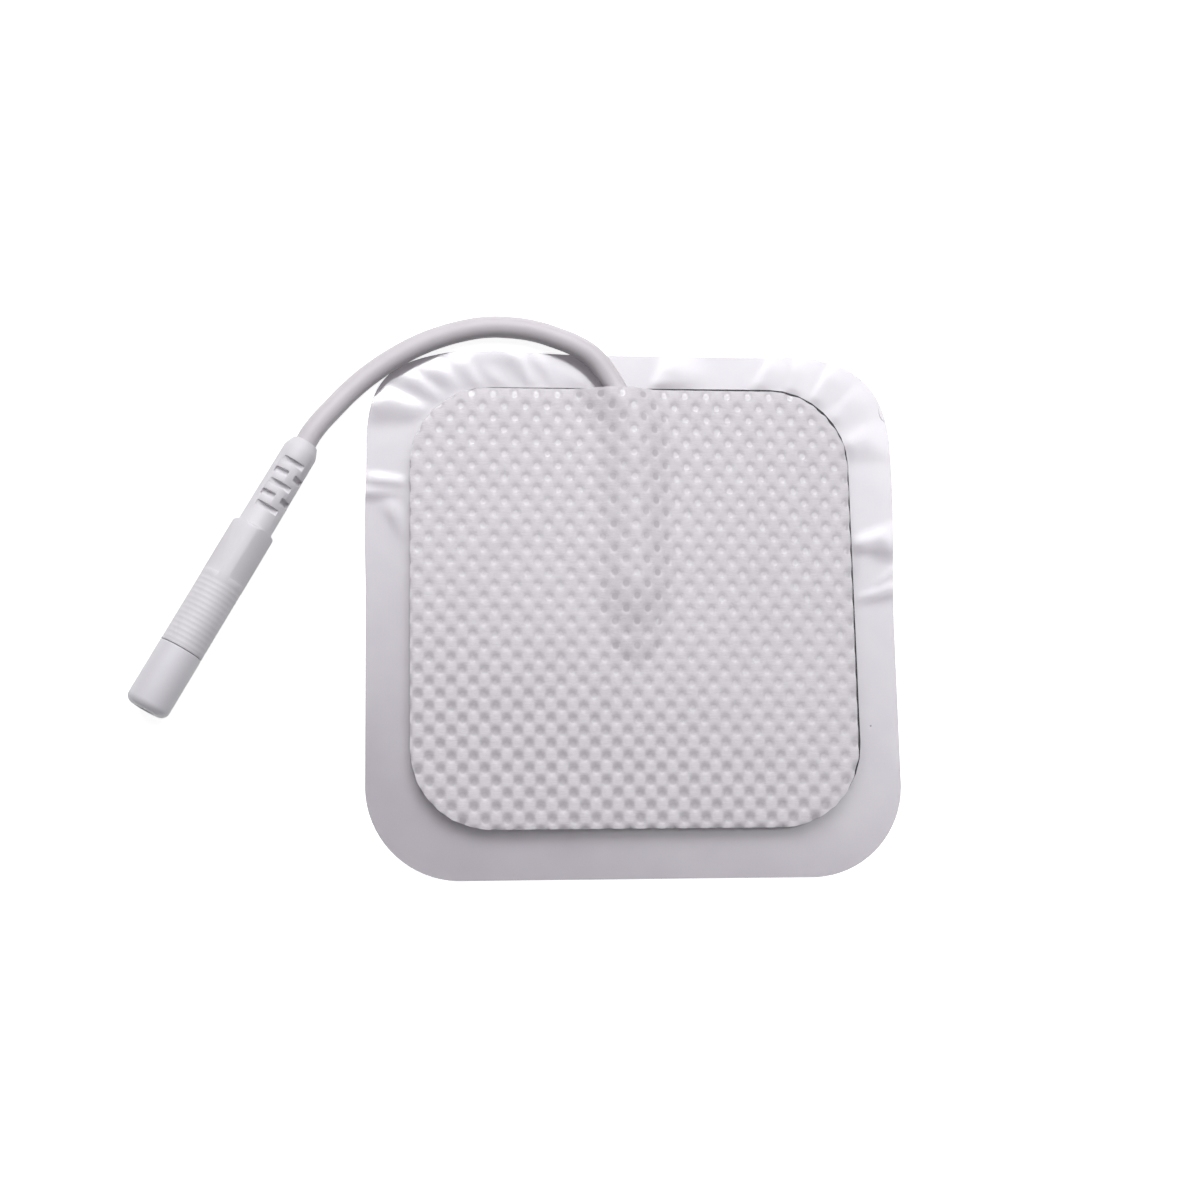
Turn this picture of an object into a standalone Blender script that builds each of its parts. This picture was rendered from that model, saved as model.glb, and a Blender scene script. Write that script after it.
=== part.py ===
"""A square self-adhesive electrode pad for nerve stimulation, lying on its release liner.

From the table up: a clear liner, a slab of conductive gel, a black carbon film and an embossed
non-woven backing. A short lead runs in between film and backing, where its bare strands fan out,
and ends in a moulded connector with a two-millimetre socket.

Metres, +Z up. The origin is the centre of the liner's underside, and +Y points to the edge of the
pad where the lead comes out.
"""

import math

import bmesh
import bpy
from mathutils import Matrix, Vector

# Release liner
LINER_SIDE = 0.0600
LINER_CORNER_RADIUS = 0.0105
LINER_THICKNESS = 0.00012
LINER_WAVE_HEIGHT = 0.00030
LINER_WAVE_LENGTH = 0.0062
LINER_CLAMP_WIDTH = 0.0025
LINER_CURL_HEIGHT = 0.0005
LINER_BOW = 0.00035
LINER_CURL_X = -0.0150
LINER_CURL_HALF_LENGTH = 0.0105

# Pad: the gel, the film and the backing share one outline
PAD_SIDE = 0.0500
PAD_CORNER_RADIUS = 0.0090
PAD_SHIFT_X = -0.0001
PAD_SHIFT_Y = 0.00045
GEL_THICKNESS = 0.00125
FILM_THICKNESS = 0.00012
FILM_SHIFT = 0.00024
FILM_TURN = 0.25
BACKING_THICKNESS = 0.00045
LAYER_GAP = 0.00002

# Embossing of the backing: bond points on a diamond lattice
EMBOSS_PITCH_X = 0.00244
EMBOSS_PITCH_Y = 0.00276
EMBOSS_SHIFT_X = -0.00083
EMBOSS_SHIFT_Y = -0.00037
EMBOSS_DEPTH = 0.00022
BOND_POINT_RADIUS = 0.00036

# Lead
LEAD_RADIUS = 0.00122
LEAD_SINK = 0.00108
LEAD_POINT_SPACING = 0.0032
LEAD_SIDES = 8
RIDGE_HALF_WIDTH = 0.0050
RIDGE_FADE_LENGTH = 0.0100
RIDGE_SQUASH = 0.00012
CHANNEL_OVERRUN = 0.0016

# Bare strands of the conductor
CONDUCTOR_RADIUS = 0.00050
STRAND_RADIUS = 0.00010
STRAND_COUNT = 5
FAN_LENGTH = 0.0062
FAN_HALF_WIDTH = 0.0018
FAN_SWELL_HEIGHT = 0.00036

# Connector, measured from the end of its nose
CONNECTOR_ANGLE = 60.5
CONNECTOR_ROLL = 5.0
NOSE_X = -0.05367
NOSE_Y = -0.01138
BARREL_RADIUS = 0.0025
NOSE_LENGTH = 0.00755
NOSE_ROUNDING = 0.00095
RING_COUNT = 14
RING_PITCH = 0.000612
RING_DEPTH = 0.00009
BARREL_LENGTH = 0.0071
SHOULDER_ROUNDING = 0.00045
FLAT_DISTANCE = 0.00216
BOOT_RADIUS = 0.00203
BOOT_FRONT_RADIUS = 0.00186
BOOT_LENGTH = 0.0112
BOOT_TIP_RADIUS = 0.00136
BOOT_CONE_LENGTH = 0.0013
SLOT_COUNT = 5
SLOT_PITCH = 0.00145
SLOT_WIDTH = 0.00070
SLOT_FLOOR = 0.00146
FIRST_SLOT = 0.0030
SLOT_TURN = 4.0
SLOT_PAIR_TURNS = (-22.0, 52.0)
JOINT_GAP = 0.00006

# Socket inside the connector
SOCKET_RADIUS = 0.0015
SOCKET_BORE_RADIUS = 0.00103
SOCKET_DEPTH = 0.0118
SOCKET_WEB = 0.0014
SOCKET_SLIT = 0.00030
SOCKET_SLIT_LENGTH = 0.0078
MOUTH_RADIUS = 0.00112
MOUTH_LIP = 0.0012
MOUTH_CHAMFER = 0.00015
SPIGOT_RADIUS = 0.00185
SPIGOT_LENGTH = 0.0050
CRIMP_RADIUS = 0.0011
CRIMP_LENGTH = 0.0038
LEAD_GRIP_LENGTH = 0.0134
FIT = 0.00003

TURN_STEPS = 20
CORNER_STEPS = 8
MERGE = 0.00001

# Heights of the layers
GEL_BOTTOM = LINER_THICKNESS + LAYER_GAP
GEL_TOP = GEL_BOTTOM + GEL_THICKNESS
FILM_BOTTOM = GEL_TOP + LAYER_GAP
FILM_TOP = FILM_BOTTOM + FILM_THICKNESS
BACKING_BOTTOM = FILM_TOP + LAYER_GAP
BACKING_TOP = BACKING_BOTTOM + BACKING_THICKNESS
LEAD_HEIGHT = FILM_TOP - LEAD_SINK + LAYER_GAP + LEAD_RADIUS
RIDGE_HEIGHT = LEAD_HEIGHT + LEAD_RADIUS + 4 * LAYER_GAP - BACKING_BOTTOM

# Stations along the connector
RINGS_END = NOSE_LENGTH + RING_COUNT * RING_PITCH
SHOULDER = RINGS_END + BARREL_LENGTH
BOOT_TIP = SHOULDER + BOOT_LENGTH
LEAD_END = BOOT_TIP - LEAD_GRIP_LENGTH
SPIGOT_END = NOSE_LENGTH + SPIGOT_LENGTH
SOCKET_FRONT = MOUTH_LIP + FIT
SOCKET_REAR = SOCKET_FRONT + SOCKET_DEPTH + SOCKET_WEB
CRIMP_END = SOCKET_REAR + CRIMP_LENGTH

PAD_CENTRE = Vector((PAD_SHIFT_X, PAD_SHIFT_Y, 0.0))
CONNECTOR_AXIS = Vector(
    (math.cos(math.radians(CONNECTOR_ANGLE)), math.sin(math.radians(CONNECTOR_ANGLE)), 0.0)
)
NOSE_END = Vector((NOSE_X, NOSE_Y, BARREL_RADIUS))


def clear_scene():
    for obj in list(bpy.data.objects):
        bpy.data.objects.remove(obj, do_unlink=True)


def make_collection(name, shown=True):
    collection = bpy.data.collections.new(name)
    bpy.context.scene.collection.children.link(collection)
    collection.hide_render = not shown
    return collection


def make_material(name, colour, roughness, metallic=0.0, alpha=1.0):
    material = bpy.data.materials.new(name)
    material.use_nodes = True
    shader = material.node_tree.nodes["Principled BSDF"]
    shader.inputs["Base Color"].default_value = (*colour, 1.0)
    shader.inputs["Roughness"].default_value = roughness
    shader.inputs["Metallic"].default_value = metallic
    shader.inputs["Alpha"].default_value = alpha
    return material


def add_object(name, data, collection, material=None, parent=None):
    obj = bpy.data.objects.new(name, data)
    collection.objects.link(obj)
    obj.parent = parent
    if material:
        obj.data.materials.append(material)
    return obj


def add_cutter(name, data, parent=None):
    obj = add_object(name, data, cutters, parent=parent)
    obj.hide_render = True
    obj.display_type = "WIRE"
    return obj


def mesh_from(name, bm):
    mesh = bpy.data.meshes.new(name)
    bm.to_mesh(mesh)
    bm.free()
    return mesh


def boolean(obj, cutter, operation="DIFFERENCE"):
    modifier = obj.modifiers.new(cutter.name, "BOOLEAN")
    modifier.operation = operation
    modifier.object = cutter
    return modifier


def smoothstep(value):
    value = min(1.0, max(0.0, value))
    return value * value * (3 - 2 * value)


# Outlines and sheets


def rounded_square(side, radius, steps=CORNER_STEPS, side_steps=1):
    """Points of a square with round corners, counter-clockwise from the right side's lower end."""
    straight = side / 2 - radius
    points = []
    for corner in range(4):
        turn = Matrix.Rotation(corner * math.pi / 2, 2)
        for step in range(side_steps):
            along = -straight + 2 * straight * step / side_steps
            points.append(turn @ Vector((side / 2, along)))
        for step in range(steps):
            angle = math.pi / 2 * step / steps
            arc = Vector((math.cos(angle), math.sin(angle))) * radius
            points.append(turn @ (Vector((straight, straight)) + arc))
    return points


def sheet_mesh(name, outline, centre, bottom, top):
    """A flat sheet with the given outline."""
    bm = bmesh.new()
    verts = [bm.verts.new((p.x + centre.x, p.y + centre.y, bottom)) for p in outline]
    face = bm.faces.new(verts)
    raised = bmesh.ops.extrude_face_region(bm, geom=[face])["geom"]
    moved = [v for v in raised if isinstance(v, bmesh.types.BMVert)]
    bmesh.ops.translate(bm, verts=moved, vec=(0, 0, top - bottom))
    bmesh.ops.recalc_face_normals(bm, faces=bm.faces)
    return mesh_from(name, bm)


# Route of the lead


def catmull_rom(before, start, end, after, share):
    """The point at a share of the way from start to end, on a smooth curve through all four."""
    return 0.5 * (
        2 * start
        + (end - before) * share
        + (2 * before - 5 * start + 4 * end - after) * share**2
        + (3 * start - before - 3 * end + after) * share**3
    )


def smooth_route(points, spacing):
    """Points about one spacing apart on a smooth curve through the given ones."""
    fine = 24
    padded = [2 * points[0] - points[1], *points, 2 * points[-1] - points[-2]]
    curve = [
        catmull_rom(*padded[i : i + 4], step / fine)
        for i in range(len(points) - 1)
        for step in range(fine)
    ] + [points[-1]]
    travelled = [0.0]
    for a, b in zip(curve, curve[1:]):
        travelled.append(travelled[-1] + (b - a).length)
    count = max(2, round(travelled[-1] / spacing))
    route, index = [], 0
    for step in range(count + 1):
        wanted = travelled[-1] * step / count
        while index < len(curve) - 2 and travelled[index + 1] < wanted:
            index += 1
        span = travelled[index + 1] - travelled[index]
        route.append(curve[index].lerp(curve[index + 1], (wanted - travelled[index]) / span))
    return route


def lead_in_pad():
    """Hand-picked points of the lead between film and backing, from its inner end to the pad's edge."""
    plan = (
        (0.15, 3.0),
        (0.25, 8.0),
        (0.35, 13.0),
        (0.38, 17.6),
        (0.10, 21.0),
        (-0.52, 23.0),
        (-1.42, 24.9),
    )
    return [PAD_CENTRE + Vector((x / 1000, y / 1000, LEAD_HEIGHT)) for x, y in plan]


def lead_in_air():
    """Hand-picked points of the lead from the pad's edge, across the table, to the connector."""
    plan = (
        (-2.40, 26.60, 0.48),
        (-4.00, 28.75, 0.50),
        (-5.90, 30.10, 0.42),
        (-8.30, 31.15, 0.26),
        (-10.90, 31.98, 0.12),
        (-13.60, 32.36, 0.04),
        (-16.30, 32.36, 0.04),
        (-19.00, 31.90, 0.08),
        (-21.63, 31.12, 0.16),
        (-24.16, 30.06, 0.25),
        (-26.60, 28.66, 0.36),
        (-28.94, 27.03, 0.50),
        (-31.28, 25.00, 0.68),
        (-33.35, 22.72, 0.93),
    )
    return [PAD_CENTRE + Vector((x / 1000, y / 1000, LEAD_RADIUS + z / 1000)) for x, y, z in plan]


def lead_in_connector():
    """Points on the connector's axis, from just outside the boot to the end of the insulation."""
    outside = 0.0014
    stations = (BOOT_TIP + outside, BOOT_TIP, (BOOT_TIP + LEAD_END) / 2, LEAD_END)
    return [NOSE_END + CONNECTOR_AXIS * station for station in stations]


def poly_tube(name, points, radius, sides):
    """A curve object's data: a straight-sided tube with flat ends along the points."""
    curve = bpy.data.curves.new(name, "CURVE")
    curve.dimensions = "3D"
    curve.bevel_depth = radius
    curve.bevel_resolution = sides // 2 - 2
    curve.use_fill_caps = True
    spline = curve.splines.new("POLY")
    spline.points.add(len(points) - 1)
    for point, place in zip(spline.points, points):
        point.co = (*place, 1.0)
    return curve


def tube_mesh(name, points, radius, sides):
    """The same tube as one closed mesh, for joining and cutting."""
    guide = add_cutter(name + "_guide", poly_tube(name, points, radius, sides))
    bpy.context.view_layer.update()
    graph = bpy.context.evaluated_depsgraph_get()
    mesh = bpy.data.meshes.new_from_object(guide.evaluated_get(graph))
    bpy.data.objects.remove(guide)
    bm = bmesh.new()
    bm.from_mesh(mesh)
    bmesh.ops.remove_doubles(bm, verts=bm.verts, dist=MERGE / 10)
    bmesh.ops.recalc_face_normals(bm, faces=bm.faces)
    bm.to_mesh(mesh)
    bm.free()
    return mesh


def lead_under_backing():
    """The lead's route from its inner end to just past the pad's edge."""
    edge = PAD_CENTRE.y + PAD_SIDE / 2
    count = next(i for i, point in enumerate(lead_route) if point.y > edge + 2 * LEAD_RADIUS)
    return lead_route[: count + 1]


def around(radius, sides):
    """Radius of a polygon whose flat sides stay outside a circle."""
    return radius / math.cos(math.pi / sides)


def channel_tube(name, clearance):
    """A mesh that follows the lead inside the pad, larger all round, and runs past its inner end."""
    sides = 16
    start, second = lead_plan[:2]
    end = start + (start - second).normalized() * (CHANNEL_OVERRUN + clearance)
    return tube_mesh(name, [end, *lead_plan], around(LEAD_RADIUS, sides) + clearance, sides)


# Layers of the pad


def distance_to_lead(x, y):
    """Distance in plan to the lead under the backing, counted shorter beyond its inner end."""
    start = lead_plan[0]
    if y < start.y:
        y = start.y + (y - start.y) * RIDGE_HALF_WIDTH / RIDGE_FADE_LENGTH
    here = Vector((x, y, start.z))
    best = PAD_SIDE
    for a, b in zip(lead_plan, lead_plan[1:]):
        share = min(1.0, max(0.0, (here - a).dot(b - a) / (b - a).length_squared))
        near = a.lerp(b, share)
        best = min(best, math.hypot(near.x - x, near.y - y))
    return best


def tent(x, y, height):
    """How far the backing is lifted: over the lead as a ridge, and over the strands as a low swelling."""
    reach = distance_to_lead(x, y) / RIDGE_HALF_WIDTH
    ridge = height * math.cos(math.pi / 2 * min(1.0, reach)) ** 2
    middle = lead_plan[0] - Vector((0, FAN_LENGTH * 0.45, 0))
    across = (x - middle.x) / (FAN_HALF_WIDTH * 2.2)
    along = (y - middle.y) / (FAN_LENGTH * 1.15)
    swelling = FAN_SWELL_HEIGHT * smoothstep((1.0 - math.hypot(across, along)) / 0.35)
    return max(ridge, swelling)


def build_gel():
    outline = rounded_square(PAD_SIDE, PAD_CORNER_RADIUS)
    mesh = sheet_mesh("hydrogel", outline, PAD_CENTRE, GEL_BOTTOM, GEL_TOP)
    gel = add_object("hydrogel", mesh, electrode, gel_clear)
    clearance = 2 * LAYER_GAP + FILM_THICKNESS
    boolean(gel, add_cutter("gel_channel", channel_tube("gel_channel", clearance)))
    return gel


def film_outline():
    """The pad's outline, moved and turned a little, so that the film peeps out at the top and the right."""
    turn = Matrix.Rotation(math.radians(FILM_TURN), 2)
    shift = Vector((FILM_SHIFT, FILM_SHIFT))
    return [turn @ point + shift for point in rounded_square(PAD_SIDE, PAD_CORNER_RADIUS)]


def build_film():
    """The black film: flat, with a trough where the lead presses it into the gel."""
    wide = rounded_square(PAD_SIDE * 1.2, PAD_CORNER_RADIUS)
    mesh = sheet_mesh("carbon_film", wide, PAD_CENTRE, FILM_BOTTOM, FILM_TOP)
    film = add_object("carbon_film", mesh, electrode, carbon_black)
    trough = bmesh.new()
    trough.from_mesh(channel_tube("film_trough", LAYER_GAP + FILM_THICKNESS))
    cut = bmesh.ops.bisect_plane(
        trough,
        geom=[*trough.verts, *trough.edges, *trough.faces],
        plane_co=(0, 0, FILM_TOP - FILM_THICKNESS * 0.1),
        plane_no=(0, 0, 1),
        clear_outer=True,
    )
    rim = [e for e in cut["geom_cut"] if isinstance(e, bmesh.types.BMEdge)]
    bmesh.ops.contextual_create(trough, geom=rim)
    bmesh.ops.recalc_face_normals(trough, faces=trough.faces)
    boolean(film, add_cutter("film_trough", mesh_from("film_trough", trough)), "UNION")
    boolean(film, add_cutter("film_channel", channel_tube("film_channel", LAYER_GAP)))
    prism = sheet_mesh("film_outline", film_outline(), PAD_CENTRE, 0, 2 * FILM_TOP)
    boolean(film, add_cutter("film_outline", prism), "INTERSECT")
    return film


def embossed_top():
    """A wide sheet whose top is a lattice of pits between diagonal ribs, lifted over the lead."""
    half_x, half_y = EMBOSS_PITCH_X / 2, EMBOSS_PITCH_Y / 2
    columns = 2 * math.ceil((PAD_SIDE / 2 - EMBOSS_SHIFT_X) / half_x + 1)
    rows = 2 * math.ceil((PAD_SIDE / 2 - EMBOSS_SHIFT_Y) / half_y + 1)
    bm = bmesh.new()
    bmesh.ops.create_grid(bm, x_segments=columns, y_segments=rows, size=0.5)
    pits = []
    for vert in bm.verts:
        column = round((vert.co.x + 0.5) * columns) - columns // 2
        row = round((vert.co.y + 0.5) * rows) - rows // 2
        x = PAD_CENTRE.x + EMBOSS_SHIFT_X + column * half_x
        y = PAD_CENTRE.y + EMBOSS_SHIFT_Y + row * half_y
        is_pit = (column + row) % 2 == 0
        sink = EMBOSS_DEPTH * 1.25 if is_pit else 0.0
        vert.co = (x, y, BACKING_TOP - sink + tent(x, y, RIDGE_HEIGHT - RIDGE_SQUASH))
        if is_pit:
            pits.append(vert)
    return bm, pits


def build_backing():
    """The non-woven backing: embossed above, plain below, with a tunnel for the lead."""
    bm, pits = embossed_top()
    pit_set = set(pits)
    for face in list(bm.faces):
        ribs = [v for v in face.verts if v not in pit_set]
        if len(ribs) == 2:
            bmesh.utils.face_split(face, ribs[0], ribs[1])
    inner = [v for v in pits if not v.is_boundary]
    bmesh.ops.bevel(bm, geom=inner, offset=BOND_POINT_RADIUS, segments=1, affect="VERTICES")
    rim = [e for e in bm.edges if e.is_boundary]
    skirt = bmesh.ops.extrude_edge_only(bm, edges=rim)["geom"]
    for vert in (v for v in skirt if isinstance(v, bmesh.types.BMVert)):
        vert.co.z = BACKING_BOTTOM
    bmesh.ops.contextual_create(bm, geom=[e for e in bm.edges if e.is_boundary])
    bmesh.ops.recalc_face_normals(bm, faces=bm.faces)
    backing = add_object("backing_fabric", mesh_from("backing_fabric", bm), electrode, nonwoven_white)
    boolean(backing, add_cutter("lead_tunnel", tunnel_mesh()))
    outline = rounded_square(PAD_SIDE, PAD_CORNER_RADIUS)
    prism = sheet_mesh("backing_outline", outline, PAD_CENTRE, 0, BACKING_TOP + 3 * RIDGE_HEIGHT)
    boolean(backing, add_cutter("backing_outline", prism), "INTERSECT")
    return backing


def tunnel_mesh():
    """The space under the lifted backing: a height field that dips below the backing all round."""
    spacing = 0.0007
    below = 0.00004
    width = 2.4 * RIDGE_HALF_WIDTH
    low_y = lead_plan[0].y - 1.1 * RIDGE_FADE_LENGTH
    high_y = PAD_CENTRE.y + PAD_SIDE * 0.55
    columns = round(width / spacing)
    rows = round((high_y - low_y) / (2 * spacing))
    bm = bmesh.new()
    bmesh.ops.create_grid(bm, x_segments=columns, y_segments=rows, size=0.5)
    for vert in bm.verts:
        x = lead_plan[0].x + vert.co.x * width
        y = low_y + (vert.co.y + 0.5) * (high_y - low_y)
        vert.co = (x, y, BACKING_BOTTOM - below + tent(x, y, RIDGE_HEIGHT))
    base = bmesh.ops.extrude_edge_only(bm, edges=[e for e in bm.edges if e.is_boundary])["geom"]
    for vert in (v for v in base if isinstance(v, bmesh.types.BMVert)):
        vert.co.z = 0
    bmesh.ops.contextual_create(bm, geom=[e for e in bm.edges if e.is_boundary])
    bmesh.ops.recalc_face_normals(bm, faces=bm.faces)
    return mesh_from("lead_tunnel", bm)


def liner_curl(point):
    """How much of the curl a point of the liner's top edge takes: all in its middle, none at its ends."""
    curl = math.cos(math.pi / 2 * min(1.0, abs(point.x - LINER_CURL_X) / LINER_CURL_HALF_LENGTH)) ** 2
    return curl * smoothstep((math.sin(math.atan2(point.y, point.x)) - 0.5) / 0.25)


def liner_lift(point, share):
    """Height of the liner's free rim: ripples round the upper corners, pressed flat under the lead."""
    angle = math.atan2(point.y, point.x)
    upper = smoothstep((math.sin(angle) + 0.15) / 0.7)
    turns = 2 * LINER_SIDE / LINER_WAVE_LENGTH
    ripple = 0.5 + 0.3 * math.sin(turns * angle) + 0.2 * math.sin(1.7 * turns * angle + 1.0)
    lead_distance = min((Vector((p.x, p.y)) - point).length for p in lead_fine)
    free = smoothstep((lead_distance - LEAD_RADIUS) / LINER_CLAMP_WIDTH)
    lift = LINER_WAVE_HEIGHT * upper * ripple + LINER_CURL_HEIGHT * liner_curl(point)
    return lift * free * share**1.5


def build_liner():
    """The release liner: flat under the pad, with a free rim that ripples at the top corners."""
    inner_side = PAD_SIDE + 2 * max(abs(PAD_SHIFT_X), abs(PAD_SHIFT_Y))
    loops = (
        (inner_side, PAD_CORNER_RADIUS, 0.0),
        ((inner_side + LINER_SIDE) / 2, (PAD_CORNER_RADIUS + LINER_CORNER_RADIUS) / 2, 0.5),
        (LINER_SIDE, LINER_CORNER_RADIUS, 1.0),
    )
    bm = bmesh.new()
    rings = []
    for side, radius, share in loops:
        ring = []
        for point in rounded_square(side, radius, steps=16, side_steps=22):
            bow = LINER_BOW * liner_curl(point) * share
            ring.append(bm.verts.new((point.x, point.y + bow, liner_lift(point, share))))
        rings.append(ring)
    edges = []
    for ring in rings:
        edges.append([bm.edges.new((a, b)) for a, b in zip(ring, ring[1:] + ring[:1])])
    bm.faces.new(rings[0])
    for inner, outer in zip(edges, edges[1:]):
        bmesh.ops.bridge_loops(bm, edges=inner + outer)
    bmesh.ops.recalc_face_normals(bm, faces=bm.faces)
    if sum(face.normal.z for face in bm.faces) < 0:
        bmesh.ops.reverse_faces(bm, faces=bm.faces)
    liner = add_object("release_liner", mesh_from("release_liner", bm), electrode, liner_film)
    thicken = liner.modifiers.new("thickness", "SOLIDIFY")
    thicken.thickness = LINER_THICKNESS
    thicken.offset = 1.0
    return liner


def build_strands():
    """The bare conductor where the insulation ends: a short bundle that fans out over the film."""
    root = lead_plan[0] - Vector((0, 2 * FIT, 0))
    bundle_length = 0.0011
    bundle = [root, root - Vector((0, bundle_length, 0))]
    strands = add_object(
        "strand_fan", tube_mesh("strand_fan", bundle, CONDUCTOR_RADIUS * 0.8, 12), electrode, tinned_copper
    )
    rest = FILM_TOP + LAYER_GAP + STRAND_RADIUS
    for number in range(STRAND_COUNT):
        side = 2 * number / (STRAND_COUNT - 1) - 1
        start = root + Vector((side * CONDUCTOR_RADIUS * 0.5, -bundle_length * 0.5, 0))
        points = [start]
        for share, spread in ((0.30, 0.30), (0.55, 0.62), (0.8, 0.88), (1.0, 1.0)):
            height = rest + (LEAD_HEIGHT - rest) * (1 - smoothstep(share / 0.5))
            points.append(
                Vector((root.x + side * FAN_HALF_WIDTH * spread, root.y - FAN_LENGTH * share, height))
            )
        name = f"strand_{number + 1}"
        mesh = tube_mesh(name, smooth_route(points, 0.0009), STRAND_RADIUS, 6)
        boolean(strands, add_cutter(name, mesh), "UNION")
    return strands


# Connector


def turned(name, profile, material, loop=True):
    """A turned piece on the connector's axis. The profile is a loop, or runs from axis to axis."""
    mesh = bpy.data.meshes.new(name)
    count = len(profile)
    edges = [(i, (i + 1) % count) for i in range(count if loop else count - 1)]
    mesh.from_pydata([(radius, 0, station) for radius, station in profile], edges, [])
    obj = add_object(name, mesh, electrode, material, parent=connector)
    spin = obj.modifiers.new("turn", "SCREW")
    spin.axis = "Z"
    spin.angle = 2 * math.pi
    spin.steps = spin.render_steps = TURN_STEPS
    spin.use_merge_vertices = True
    spin.merge_threshold = MERGE
    spin.use_smooth_shade = True
    return obj


def arc_points(centre_radius, centre_station, size, start, end, steps=4):
    """Points on a round edge of a turned profile, angles in degrees from the outward direction."""
    points = []
    for step in range(steps + 1):
        angle = math.radians(start + (end - start) * step / steps)
        points.append(
            (centre_radius + size * math.cos(angle), centre_station + size * math.sin(angle))
        )
    return points


def grip_rings():
    """The fine V grooves of the grip, from the barrel towards the nose."""
    points = []
    for number in range(RING_COUNT):
        start = RINGS_END - number * RING_PITCH
        points.append((BARREL_RADIUS, start))
        points.append((BARREL_RADIUS - RING_DEPTH, start - RING_PITCH / 2))
    return points


def body_profile():
    """Outside of the moulded body from the boot's tip to the joint, then its cavity back up."""
    lead_bore = around(LEAD_RADIUS, TURN_STEPS) + FIT
    front = NOSE_LENGTH + JOINT_GAP
    outside = [
        (BOOT_TIP_RADIUS, BOOT_TIP),
        (BOOT_FRONT_RADIUS - 0.0001, BOOT_TIP - BOOT_CONE_LENGTH * 0.7),
        (BOOT_FRONT_RADIUS, BOOT_TIP - BOOT_CONE_LENGTH),
        (BOOT_RADIUS, SHOULDER),
        *arc_points(
            BARREL_RADIUS - SHOULDER_ROUNDING, SHOULDER - SHOULDER_ROUNDING, SHOULDER_ROUNDING, 90, 0
        ),
        *grip_rings(),
        (BARREL_RADIUS, front + RING_DEPTH),
        (BARREL_RADIUS - RING_DEPTH, front),
    ]
    cavity = [
        (SPIGOT_RADIUS + FIT, front),
        (SPIGOT_RADIUS + FIT, SPIGOT_END + FIT),
        (SOCKET_RADIUS + FIT, SPIGOT_END + FIT),
        (SOCKET_RADIUS + FIT, SOCKET_REAR + FIT),
        (CRIMP_RADIUS + FIT, SOCKET_REAR + FIT),
        (CRIMP_RADIUS + FIT, CRIMP_END + FIT),
        (CONDUCTOR_RADIUS + FIT, CRIMP_END + FIT),
        (CONDUCTOR_RADIUS + FIT, LEAD_END - 2 * FIT),
        (lead_bore, LEAD_END - 2 * FIT),
        (lead_bore, BOOT_TIP),
    ]
    return outside + cavity


def boxes_mesh(name, boxes):
    """One cutter of several boxes, each (size, centre, turn about the connector's axis in degrees)."""
    bm = bmesh.new()
    for size, centre, turn in boxes:
        place = Matrix.Rotation(math.radians(turn), 4, "Z") @ Matrix.Translation(centre)
        bmesh.ops.create_cube(bm, size=1.0, matrix=place @ Matrix.Diagonal((*size, 1.0)))
    return mesh_from(name, bm)


def slot_boxes():
    """Slots that let the boot bend: one wide slot above and below, then a pair each beside a rib."""
    depth = BOOT_RADIUS - SLOT_FLOOR
    boxes = []
    for number in range(SLOT_COUNT):
        station = BOOT_TIP - FIRST_SLOT - number * SLOT_PITCH
        wide = number % 2 == 0
        across = 1.3 * BOOT_RADIUS if wide else 0.84 * BOOT_RADIUS
        turns = (0,) if wide else SLOT_PAIR_TURNS
        for side in (0, 180):
            for turn in turns:
                size = (2 * depth, across, SLOT_WIDTH)
                centre = Vector((SLOT_FLOOR + depth, 0, station))
                boxes.append((size, centre, CONNECTOR_ROLL + SLOT_TURN + side + turn))
    return boxes


def flat_boxes():
    """Four finger flats on the plain part of the barrel, through its shoulder, with soft ribs between."""
    depth = BARREL_RADIUS - FLAT_DISTANCE
    length = BARREL_LENGTH
    size = (2 * depth, 2 * BARREL_RADIUS, length)
    centre = Vector((FLAT_DISTANCE + depth, 0, RINGS_END + RING_PITCH + length / 2))
    return [(size, centre, CONNECTOR_ROLL + turn) for turn in (45, 135, 225, 315)]


def build_body():
    """The soft moulding: a slotted boot round the lead, a barrel with finger flats and a ringed grip."""
    body = turned("connector_body", body_profile(), moulded_white)
    boolean(body, add_cutter("boot_slots", boxes_mesh("boot_slots", slot_boxes()), connector))
    boolean(body, add_cutter("finger_flats", boxes_mesh("finger_flats", flat_boxes()), connector))
    return body


def build_nose():
    """The rigid sleeve that holds the socket: its rounded nose shows, its spigot is in the body."""
    profile = [
        (SPIGOT_RADIUS, SPIGOT_END),
        (SPIGOT_RADIUS, NOSE_LENGTH),
        (BARREL_RADIUS - RING_DEPTH / 2, NOSE_LENGTH),
        (BARREL_RADIUS, NOSE_LENGTH - RING_DEPTH / 2),
        *arc_points(BARREL_RADIUS - NOSE_ROUNDING, NOSE_ROUNDING, NOSE_ROUNDING, 0, -90, 5),
        (MOUTH_RADIUS + MOUTH_CHAMFER, 0),
        (MOUTH_RADIUS, MOUTH_CHAMFER),
        (MOUTH_RADIUS, MOUTH_LIP),
        (SOCKET_RADIUS + FIT, MOUTH_LIP),
        (SOCKET_RADIUS + FIT, SPIGOT_END),
    ]
    return turned("nose_sleeve", profile, sleeve_white)


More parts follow.
